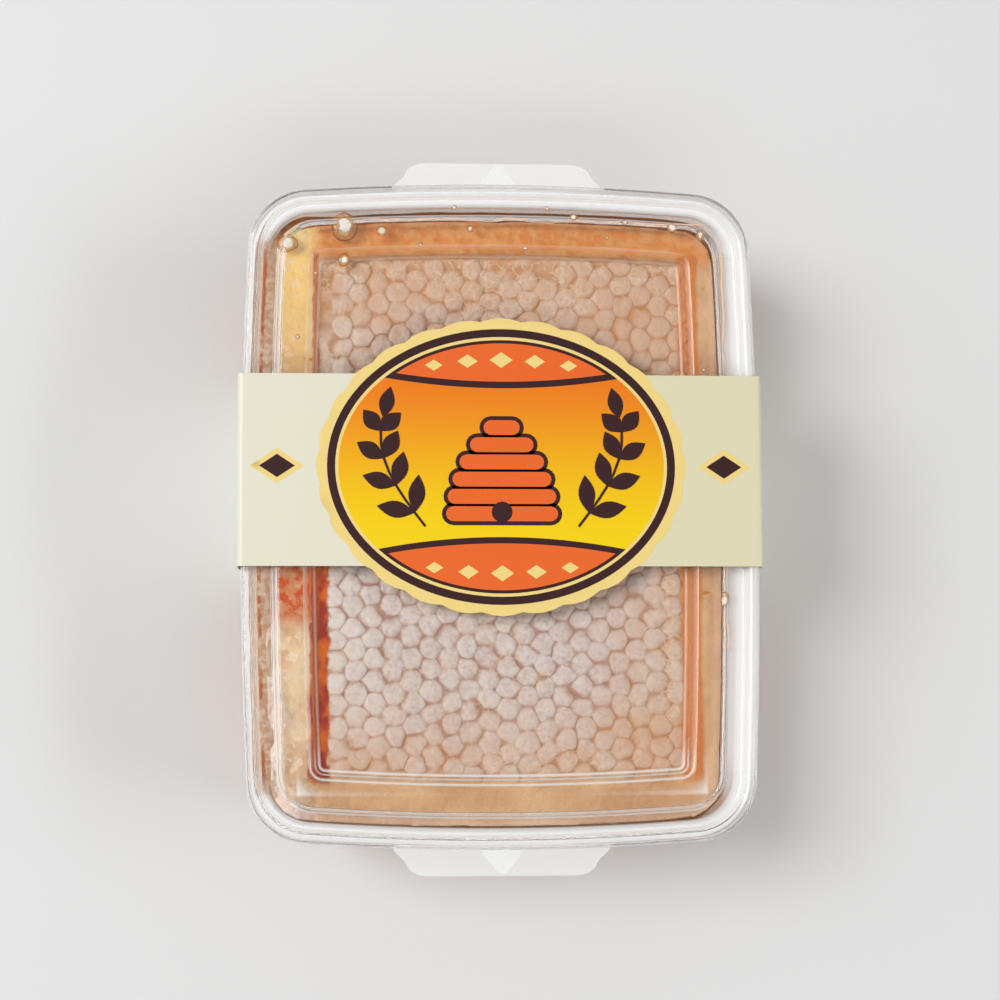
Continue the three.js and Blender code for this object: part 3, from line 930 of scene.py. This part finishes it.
def make_comb_core():
    top, bottom = CAP_TOP - CAP_RISE - 0.15 * MM, comb_low.z + CAP_RISE + 0.15 * MM
    middle = (top + bottom) / 2
    rise = (middle - MIDRIB_HALF - bottom) / SIDE_LEVELS
    heights = [(bottom + rise * k, 3) for k in range(SIDE_LEVELS + 1)] + [(middle, None)]
    heights += [(middle + MIDRIB_HALF + rise * k, 5) for k in range(SIDE_LEVELS + 1)]
    bm = bmesh.new()
    cut = bm.verts.layers.float.new("cut")
    rings, seeds = [], {3: scalloped(3), 5: scalloped(5)}
    for height, seed in heights:
        points = seeds[seed or 3]
        keep = 0.25 if seed is None else 1
        verts, ring = edge_ring(bm, [Vector((p.x, p.y, height)) for p, _ in points])
        for vert, (_, share) in zip(verts, points):
            vert[cut] = share * keep
        if rings:
            bmesh.ops.bridge_loops(bm, edges=rings[-1] + ring)
        rings.append(ring)
    for ring in (rings[0], rings[-1]):
        bmesh.ops.edgeloop_fill(bm, edges=ring)
    for vert in bm.verts:
        is_end = abs(vert.co.y) / COMB_HALF_Y > abs(vert.co.x) / COMB_HALF_X
        vert.co[0 if is_end else 1] += CELL_SWAY * noise.noise(vert.co * 110)
    piece = finish_piece(bm, "comb_cut_sides", make_side_wax())
    even_shading(piece)
    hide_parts("comb")
    return piece


make_comb_core()

# %% [markdown]
# ## Honey
#
# Honey takes out blue first, then green, so a thin layer is straw yellow and a deep one
# red-brown. A piece with a volume inside does that by itself. It fills the whole tray
# round the comb, and reaches a tenth of a millimetre into the plastic, so that no film of
# air shows. Along the right and far walls it stands back, as where the honey drained away.

# %% Honey
HONEY_DENSITY = 95
HONEY_PASSED = (0.958, 0.70, 0.1, 1)
INTO_WALL = 0.1 * MM
DRAINED_RIGHT = 3 * MM
DRAINED_FAR = 1.6 * MM


def make_honey_material():
    material, tree, shader, output = new_material("Honey")
    tree.nodes.remove(shader)
    see = tree.nodes.new("ShaderNodeBsdfTransparent")
    gloss = add_node(tree, "ShaderNodeBsdfGlossy", Roughness=0.05)
    fresnel = add_node(tree, "ShaderNodeFresnel", IOR=1.15)
    mix = tree.nodes.new("ShaderNodeMixShader")
    tree.links.new(fresnel.outputs[0], mix.inputs[0])
    tree.links.new(see.outputs[0], mix.inputs[1])
    tree.links.new(gloss.outputs[0], mix.inputs[2])
    tree.links.new(mix.outputs[0], output.inputs["Surface"])
    inside = add_node(tree, "ShaderNodeVolumeAbsorption", Color=HONEY_PASSED, Density=HONEY_DENSITY)
    tree.links.new(inside.outputs[0], output.inputs["Volume"])
    return material


def drained_loop(inset, height, share):
    """A loop of the honey's outline, pulled in unevenly along the right and far sides."""
    points = []
    for p in rim_loop(inset, height):
        wave = 0.8 + 0.35 * noise.noise(Vector((p.x, p.y, 0)) * 90)
        right = max(0, min(1, (p.x / RIM_HALF_X - 0.6) / 0.25))
        far = max(0, min(1, (p.y / RIM_HALF_Y - 0.7) / 0.2))
        p.x -= DRAINED_RIGHT * wave * right * share
        p.y -= DRAINED_FAR * wave * far * share
        points.append(p)
    return points


def make_honey():
    floor = TRAY_BASE + TRAY_WALL - INTO_WALL
    under_shoulder = SHOULDER_TOP - LID_WALL + INTO_WALL
    under_plateau = PLATEAU_TOP - LID_WALL + INTO_WALL
    under_panel = PANEL_TOP - LID_WALL + INTO_WALL
    wall_top = TRAY_WALL_INSET + TRAY_WALL - INTO_WALL
    corners = [
        (BASE_INSET, floor, 0),
        (FOOT_INSET + TRAY_WALL - INTO_WALL, floor, 1.5 * MM),
        (wall_top + 1.0 * MM, FLANGE_TOP - 14 * MM, 1 * MM),
        (wall_top, under_shoulder, 0.7 * MM),
        (8.2 * MM, under_shoulder, 0.4 * MM),
        (9.2 * MM, under_plateau - 0.4 * MM, 0.4 * MM),
        (PLATEAU_INSET - 0.25 * MM, under_plateau, 0.4 * MM),
        (PANEL_INSET - 0.25 * MM, under_panel, 0.4 * MM),
        (BASE_INSET, under_panel, 0),
    ]
    loops = []
    for p in rounded_path(corners):
        high = max(0, min(1, (p.y - 22 * MM) / (8 * MM)))
        outer = max(0, min(1, (13 * MM - p.x) / (3 * MM)))
        loops.append(drained_loop(p.x, p.y, high * outer))
    bm = bmesh.new()
    skin(bm, loops)
    piece = finish_piece(bm, "honey_fill", make_honey_material())
    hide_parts("honey")
    return piece


make_honey()

# %% [markdown]
# Where the honey stands back from the wall it ends in a rounded edge that catches the
# light, and air is caught under the plateau in flat bubbles.

# %% Honey's free edge
def make_edge_material():
    material, tree, shader, output = new_material("Honey edge")
    shader.inputs["Base Color"].default_value = srgb(248, 214, 190)
    shader.inputs["Roughness"].default_value = 0.5
    shader.inputs["Specular IOR Level"].default_value = 0.1
    shader.inputs["Alpha"].default_value = 0.8
    return material


def tube(bm, path, radius):
    loops = []
    for i, point in enumerate(path):
        along = (path[min(i + 1, len(path) - 1)] - path[max(i - 1, 0)]).normalized()
        across = along.cross(Vector((0, 0, 1))).normalized()
        width = radius * (0.75 + 0.6 * noise.noise(point * 260))
        ring = [a * 2 * pi / 8 for a in range(8)]
        loops.append([point + (across * cos(a) + Vector((0, 0, sin(a)))) * width for a in ring])
    skin(bm, loops)


def make_free_edge():
    """One wavy thread along the far side, and one along the right side."""
    bm = bmesh.new()
    height = PLATEAU_TOP - LID_WALL - 0.9 * MM
    far, right = [], []
    for k in range(121):
        t = k / 120
        x = (-36 + 88 * t) * MM
        wave = noise.noise(Vector((x * 110, 0.3, 0))) + 0.5 * noise.noise(Vector((x * 300, 5, 0)))
        far.append(Vector((x, 73.9 * MM - 0.9 * MM * (x / (50 * MM)) ** 2 + 0.7 * MM * wave, height)))
        y = (66 - 100 * t) * MM
        wave = noise.noise(Vector((y * 110, 9, 0))) + 0.5 * noise.noise(Vector((y * 320, 2, 0)))
        right.append(Vector((56.2 * MM + 0.5 * MM * wave, y, height)))
    tube(bm, far, 0.24 * MM)
    tube(bm, right, 0.3 * MM)
    piece = finish_piece(bm, "honey_free_edge", make_edge_material())


make_free_edge()

# %% [markdown]
# Along the left side honey and crumbs of wax have crept over the tray's flange, into the
# narrow gap under the lid's shoulder and bead. A flat strip fills the gap, with a ragged
# colour: brown at its outer end, pale in the middle and orange over the tray's wall.

# %% Honey over the flange
CREEP_OUTER = 1.9 * MM
CREEP_INNER = 7.4 * MM
CREEP_LOW = FLANGE_TOP + 0.08 * MM
CREEP_HIGH = SHOULDER_TOP - LID_WALL - 0.08 * MM


def make_creep_material():
    material, tree, shader, output = new_material("Honey and wax crumbs")
    spot, (x, y, z) = place(tree)
    blotch, grain = mottle(tree, 6 * MM, 1.3 * MM)
    bow = math_node(tree, "MULTIPLY", math_node(tree, "MULTIPLY", y, y), -0.5 / SIDE_BOW_RADIUS)
    inset = math_node(tree, "ADD", math_node(tree, "ADD", x, RIM_HALF_X), bow)
    tan = mixed(tree, between(tree, grain, 0.4, 0.6), srgb(206, 160, 124), srgb(226, 196, 170))
    brown_line = stripe(tree, inset, 0, 2.9 * MM, 0.3 * MM)
    colour = mixed(tree, brown_line, tan, srgb(184, 138, 106))
    rust_line = stripe(tree, ragged(tree, inset, grain, 0.5 * MM), 4 * MM, 4.9 * MM, 0.25 * MM)
    colour = mixed(tree, math_node(tree, "MULTIPLY", rust_line, between(tree, blotch, 0.4, 0.55)), colour, srgb(184, 96, 34))
    tree.links.new(colour, shader.inputs["Base Color"])
    shader.inputs["Roughness"].default_value = 0.3
    there = between(tree, ragged(tree, inset, blotch, 0.8 * MM), 1.9 * MM, 2.5 * MM)
    along = ragged(tree, math_node(tree, "ABSOLUTE", y), blotch, 6 * MM)
    there = math_node(tree, "MULTIPLY", there, between(tree, along, 60 * MM, 72 * MM, 1.0, 0.0))
    tree.links.new(math_node(tree, "MULTIPLY", there, 0.85), shader.inputs["Alpha"])
    return material


def make_creep():
    """The part of the rim's outline that is on the left, drawn at two insets and lifted."""
    outer = [p for p in rim_loop(CREEP_OUTER, CREEP_LOW) if p.x < -RIM_HALF_X + 9 * MM]
    inner = [p for p in rim_loop(CREEP_INNER, CREEP_LOW) if p.x < -RIM_HALF_X + 14 * MM]
    bm = bmesh.new()
    raised_plate(bm, outer + inner[::-1], CREEP_LOW, CREEP_HIGH, 0)
    piece = finish_piece(bm, "flange_honey", make_creep_material(), smooth=False)


make_creep()

# %% Air bubbles
BUBBLES = (
    (-38.9, 72.0, 3.3, 1.15), (-53.0, 67.5, 2.7, 0.8), (-38.9, 63.6, 1.5, 1.1),
    (-29.5, 70.8, 1.3, 1.0), (-11.4, 77.2, 0.7, 1), (-7.4, 71.6, 0.9, 1), (6.4, 66.9, 0.8, 0.7),
    (12.0, 77.0, 0.6, 1), (18.6, 74.9, 1.1, 1), (31.5, 73.6, 0.7, 1), (43.6, 72.4, 1.2, 1.1),
    (50.6, 70.4, 1.1, 1.2), (-46.0, 60.0, 0.5, 1), (52.9, -0.5, 1.0, 1.5), (55.6, -21.5, 1.2, 1.6),
    (-50.5, 44.0, 0.6, 1), (51.0, 36.0, 0.5, 1), (27.0, 69.5, 0.5, 1), (-20.0, 67.5, 0.45, 1),
)


def make_bubble_material():
    """White in the middle, where the lamps show, clear gold round that, and brown at its edge."""
    material, tree, shader, output = new_material("Air bubble")
    reach = add_node(tree, "ShaderNodeAttribute", attribute_name="reach").outputs["Fac"]
    blotch, grain = mottle(tree, 2.4 * MM, 0.7 * MM)
    reach = ragged(tree, reach, blotch, 0.35)
    core = between(tree, reach, 0.42, 0.56, 1.0, 0.0)
    edge = between(tree, reach, 0.78, 0.92)
    colour = mixed(tree, core, srgb(226, 170, 104), srgb(250, 246, 232))
    colour = mixed(tree, edge, colour, srgb(168, 104, 60))
    tree.links.new(colour, shader.inputs["Base Color"])
    shader.inputs["Roughness"].default_value = 0.1
    alpha = math_node(tree, "MAXIMUM", math_node(tree, "MULTIPLY", core, 0.85), 0.35)
    alpha = math_node(tree, "MAXIMUM", alpha, math_node(tree, "MULTIPLY", edge, 0.7))
    tree.links.new(alpha, shader.inputs["Alpha"])
    return material


def make_bubbles():
    bm = bmesh.new()
    reach = bm.verts.layers.float.new("reach")
    for x, y, radius, stretch in BUBBLES:
        height = PLATEAU_TOP - LID_WALL - 0.42 * radius * MM - 0.25 * MM
        shape = Matrix.Diagonal((radius * MM, radius * stretch * MM, 0.35 * radius * MM, 1))
        made = bmesh.ops.create_uvsphere(bm, u_segments=28, v_segments=14, radius=1)["verts"]
        for vert in made:
            vert[reach] = hypot(vert.co.x, vert.co.y)
        bmesh.ops.transform(bm, verts=made, matrix=Matrix.Translation((x * MM, y * MM, height)) @ shape)
    for vert in bm.verts:
        wobble = noise.noise_vector(vert.co * 330)
        vert.co.x += wobble.x * 0.35 * MM
        vert.co.y += wobble.y * 0.35 * MM
    piece = finish_piece(bm, "air_bubbles", make_bubble_material())


make_bubbles()

# %% [markdown]
# ## Card band
#
# One strip of card goes round the lid, the sides and the base. On top it rests on the
# plateau and the bead, so it falls a little towards both edges. Its section is a closed
# loop that is carried along the pack as edge loops.

# %% Card
def make_card():
    material, tree, shader, output = new_material("Cream card")
    spot, (x, y, z) = place(tree)
    blotch, grain = mottle(tree, 25 * MM, 0.5 * MM)
    lit = between(tree, ragged(tree, x, blotch, 20 * MM), -55 * MM, 30 * MM)
    colour = mixed(tree, lit, srgb(228, 225, 205), srgb(224, 218, 184))
    tree.links.new(colour, shader.inputs["Base Color"])
    shader.inputs["Roughness"].default_value = 0.38
    bump_into(tree, shader, grain, 0.08, 0.05 * MM)
    return material


card = make_card()

# %% Band
CARD = 0.45 * MM
BAND_TOP = sleeve_high.z
BAND_HALF = sleeve_high.x
BAND_FAR = 34.4 * MM
BAND_NEAR = -13.4 * MM
BAND_BASE_HALF = 58.8 * MM
BAND_KNEE = 35 * MM
FOLD_X = 48 * MM
FALL = 0.25 * MM


def band_section(inset):
    """The band's outline across the pack, as (X, height) points, at an inset from its face."""
    top = BAND_TOP - inset
    right = [
        (BAND_BASE_HALF - inset, inset, 1.2 * MM),
        (BAND_HALF - inset, BAND_KNEE, 3 * MM),
        (BAND_HALF - inset, top - FALL, 1.6 * MM),
        (FOLD_X, top, 2.5 * MM),
    ]
    corners = right + [(-x, z, radius) for x, z, radius in reversed(right)]
    (x, z, _), (other_x, other_z, _) = corners[-1], corners[0]
    return rounded_path([(x, z, 0), *corners, (other_x, other_z, 0)])[1:-1]


def make_band():
    bm = bmesh.new()
    loops = []
    for y, inset in ((BAND_NEAR, CARD), (BAND_NEAR, 0), (BAND_FAR, 0), (BAND_FAR, CARD)):
        loops.append([Vector((p.x, y, p.y)) for p in band_section(inset)])
    skin(bm, loops, is_ring=True)
    piece = finish_piece(bm, "card_band", card)
    even_shading(piece)
    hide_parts("sleeve")
    return piece


make_band()

# %% [markdown]
# ## Badge
#
# The band carries a die-cut oval badge with a scalloped edge of foil. It stands past
# both long edges of the band. Its print is a stack of very thin plates, one for each
# ink: a brown ground, a field that runs from orange to yellow, and a straw hive between
# two sprays of leaves. Two small lozenges fill the ends of the band.

# %% Inks
def make_ink(name, colour, roughness=0.32):
    material, tree, shader, output = new_material(name)
    shader.inputs["Base Color"].default_value = colour
    shader.inputs["Roughness"].default_value = roughness
    return material


def make_foil():
    """Pale gold with a painted reflection of something dark, which turns it olive here and there at the left."""
    material, tree, shader, output = new_material("Gold foil")
    spot, (x, y, z) = place(tree)
    blotch, grain = mottle(tree, 18 * MM, 2 * MM)
    left = between(tree, x, -40 * MM, -52 * MM)
    # painted reflection: olive where the foil would mirror something dark
    dark_reflection = math_node(tree, "MULTIPLY", left, between(tree, blotch, 0.45, 0.6))
    colour = mixed(tree, dark_reflection, srgb(255, 226, 142), srgb(132, 116, 40))
    tree.links.new(colour, shader.inputs["Base Color"])
    shader.inputs["Metallic"].default_value = 0.15
    shader.inputs["Roughness"].default_value = 0.28
    return material


def make_field():
    """Orange at the far end, yellow at the near end."""
    material, tree, shader, output = new_material("Orange to yellow")
    spot, (x, y, z) = place(tree)
    low, high = BADGE_CENTRE.y - 0.55 * BADGE_HALF_Y, BADGE_CENTRE.y + 0.7 * BADGE_HALF_Y
    colour = mixed(tree, between(tree, y, low, high), srgb(247, 212, 10), srgb(238, 120, 24))
    tree.links.new(colour, shader.inputs["Base Color"])
    shader.inputs["Roughness"].default_value = 0.32
    return material


# %% Outlines of the print
BADGE_HALF_X = 46 * MM
BADGE_HALF_Y = (sleeve_high.y - sleeve_low.y) / 2
BADGE_CENTRE = Vector((0, (sleeve_high.y + sleeve_low.y) / 2))
BADGE_LOBES = 28
LOBE_DEPTH = 0.8 * MM
INK = 0.03 * MM


def oval(inset, lobes=0, steps=112):
    outline = []
    for i in range(steps):
        angle = 2 * pi * i / steps
        lobe = LOBE_DEPTH * (abs(cos(lobes * angle / 2)) - 1) if lobes else 0
        reach = Vector(((BADGE_HALF_X - inset + lobe) * cos(angle), 0))
        reach.y = (BADGE_HALF_Y - inset + lobe) * sin(angle)
        outline.append(BADGE_CENTRE + reach)
    return outline


def crescent(inset, middle, spread, sag):
    """A piece of the badge's oval that a shallow arc cuts off."""
    rim = []
    for i in range(33):
        angle = middle + spread * (i / 16 - 1)
        reach = ((BADGE_HALF_X - inset) * cos(angle), (BADGE_HALF_Y - inset) * sin(angle))
        rim.append(BADGE_CENTRE + Vector(reach))
    start, end = rim[-1], rim[0]
    pull = (start + end) / 2 + Vector((0, sag))
    curve = [start * (1 - t) ** 2 + pull * 2 * t * (1 - t) + end * t**2 for t in [k / 16 for k in range(1, 16)]]
    return rim + curve


def stadium(centre, half_x, half_y):
    corner = half_y
    right = arc_points(centre + Vector((half_x - corner, 0)), corner, -pi / 2, pi / 2, 8)
    left = arc_points(centre - Vector((half_x - corner, 0)), corner, pi / 2, 3 * pi / 2, 8)
    return right + left


def leaf(root, angle, length, width):
    """A pointed oval from its root outwards."""
    along = Vector((cos(angle), sin(angle)))
    across = Vector((-along.y, along.x))
    share = [k / 8 for k in range(9)]
    far = [root + along * length * t + across * width * sin(pi * t) / 2 for t in share]
    near = [root + along * length * t - across * width * sin(pi * t) / 2 for t in share[1:-1]]
    return near + far[::-1]


def lozenge(centre, half_x, half_y):
    steps = ((-half_x, 0), (0, -half_y), (half_x, 0), (0, half_y))
    return [centre + Vector(step) for step in steps]


# %% Print layers
def card_drop(x):
    return FALL * max(0, abs(x) - FOLD_X) / (BAND_HALF - FOLD_X)


def print_layer(name, outlines, level, material, low=None):
    """Thin plates of one ink. Each level lies on the one below, and all follow the card."""
    bm = bmesh.new()
    base = BAND_TOP + (level - 1) * INK if low is None else low
    for outline in outlines:
        raised_plate(bm, outline, base, BAND_TOP + level * INK, 0)
    for vert in bm.verts:
        vert.co.z -= card_drop(vert.co.x)
    piece = finish_piece(bm, name, material, smooth=False)
    return piece


foil = make_foil()
brown = make_ink("Brown ink", srgb(58, 30, 32))
orange = make_ink("Orange ink", srgb(236, 106, 42))
field = make_field()

badge = print_layer("badge_plate", [oval(0, BADGE_LOBES)], 1, foil, BAND_TOP - CARD)
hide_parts("sleeve")
print_layer("badge_ground", [oval(2.8 * MM)], 2, brown)
print_layer("badge_line", [oval(4.8 * MM)], 3, foil)
print_layer("badge_field", [oval(5.6 * MM)], 4, field)

# %% Hive, hills and leaves
HIVE_BASE = BADGE_CENTRE + Vector((0, -14 * MM))
HIVE_ROW = 4.3 * MM
HIVE_HALVES = [14 * MM, 13.6 * MM, 12.4 * MM, 10.6 * MM, 8 * MM, 4.6 * MM]


def hive_rows(grow):
    rows = []
    for i, half in enumerate(HIVE_HALVES):
        centre = HIVE_BASE + Vector((0, (i + 0.5) * HIVE_ROW))
        rows.append(stadium(centre, half + grow, HIVE_ROW / 2 + grow - 0.2 * MM))
    return rows


def spray(side):
    """A bowed stem with pairs of leaves along it and one at its tip."""
    leaves = []
    stem_low, stem_high = [], []
    for k in range(9):
        t = k / 8
        spot = BADGE_CENTRE + Vector((side * (19 + 11 * sin(1.9 * t)) * MM, (-15 + 27 * t) * MM))
        heading = atan2(27, side * 11 * 1.9 * cos(1.9 * t))
        across = Vector((-sin(heading), cos(heading))) * 0.3 * MM
        stem_low.append(spot - across)
        stem_high.append(spot + across)
        if k in (1, 3, 5, 7):
            for turn in (-0.75, 0.75):
                leaves.append(leaf(spot, heading + turn, (10 - 0.45 * k) * MM, 4.2 * MM))
    leaves.append(leaf(spot, heading, 8 * MM, 3.8 * MM))
    return leaves, stem_low + stem_high[::-1]


def row_of_lozenges(angle, sag):
    """Five lozenges side by side, the middle one largest."""
    row = []
    for i in range(-2, 3):
        spot = BADGE_CENTRE + Vector((i * 8.4 * MM, sin(angle) * (BADGE_HALF_Y - 10.6 * MM - sag * i**2)))
        row.append(lozenge(spot, (2.9 - 0.35 * abs(i)) * MM, (2 - 0.3 * abs(i)) * MM))
    return row


print_layer("hill_edges", [crescent(5.6 * MM, -pi / 2, 0.86, 6 * MM), crescent(5.6 * MM, pi / 2, 0.8, -5 * MM)], 5, brown)
print_layer("hills", [crescent(6.4 * MM, -pi / 2, 0.79, 5 * MM), crescent(6.4 * MM, pi / 2, 0.72, -4 * MM)], 6, orange)
print_layer("hill_marks", row_of_lozenges(-pi / 2, 0.35 * MM) + row_of_lozenges(pi / 2, 0.35 * MM), 7, foil)
print_layer("hive_shade", hive_rows(0.9 * MM), 7, brown)
print_layer("hive_rows", hive_rows(-0.1 * MM), 8, orange)
door = stadium(HIVE_BASE + Vector((0, 2.6 * MM)), 2.6 * MM, 2.59 * MM)
print_layer("hive_door", [door], 9, brown)
for side, name in ((-1, "left"), (1, "right")):
    leaves, stem = spray(side)
    print_layer(f"leaves_{name}", leaves, 7, brown)
    print_layer(f"stem_{name}", [stem], 8, brown)
    tip = BADGE_CENTRE + Vector((side * 55.5 * MM, 0))
    print_layer(f"tip_foil_{name}", [lozenge(tip, 6.6 * MM, 4.4 * MM)], 1, foil)
    print_layer(f"tip_ink_{name}", [lozenge(tip, 4.4 * MM, 2.9 * MM)], 2, brown)

# %% [markdown]
# ## Stage
#
# A pale floor, two broad lamps and an even sky, as in a studio.

# %% Stage
def make_floor():
    material, tree, shader, output = new_material("Studio floor")
    shader.inputs["Base Color"].default_value = (0.76, 0.76, 0.76, 1)
    shader.inputs["Roughness"].default_value = 0.7
    bm = bmesh.new()
    bmesh.ops.create_grid(bm, x_segments=1, y_segments=1, size=1.5)
    mesh = bpy.data.meshes.new("floor")
    bm.to_mesh(mesh)
    bm.free()
    floor = bpy.data.objects.new("floor", mesh)
    bpy.context.scene.collection.objects.link(floor)
    mesh.materials.append(material)


def make_lamp(name, place, width, height, radiance):
    """A flat lamp that faces the pack. Its brightness doesn't change with its size."""
    lamp = bpy.data.objects.new(name, bpy.data.lights.new(name, "AREA"))
    lamp.data.shape = "RECTANGLE"
    lamp.data.size = width
    lamp.data.size_y = height
    lamp.data.energy = radiance * pi * width * height
    lamp.location = place
    aim = Vector((0, 0, 0.03)) - Vector(place)
    lamp.rotation_euler = aim.to_track_quat("-Z", "Y").to_euler()
    bpy.context.scene.collection.objects.link(lamp)


make_floor()
make_lamp("key_lamp", (-1.0, 0.3, 1.15), 0.7, 0.7, 9.6)
make_lamp("fill_lamp", (1.2, -0.2, 0.8), 0.8, 0.6, 3.9)
make_lamp("far_strip", (0, 1.6, 0.55), 1.6, 0.3, 1.5)
make_lamp("near_strip", (0.2, -1.3, 1.3), 1.6, 0.3, 3.8)
make_lamp("left_strip", (-1.3, 0, 0.7), 1.5, 0.18, 3.6)
make_lamp("right_strip", (1.25, 0, 1.0), 1.5, 0.2, 2.8)
world = bpy.data.worlds.new("Sky")
world.use_nodes = True
world.node_tree.nodes["Background"].inputs[0].default_value = (1, 1, 1, 1)
world.node_tree.nodes["Background"].inputs[1].default_value = 0.2
bpy.context.scene.world = world
bpy.context.scene.view_settings.view_transform = "Standard"
bpy.context.scene.cycles.transparent_max_bounces = 24
bpy.context.scene.cycles.diffuse_bounces = 3
bpy.context.scene.cycles.transmission_bounces = 8
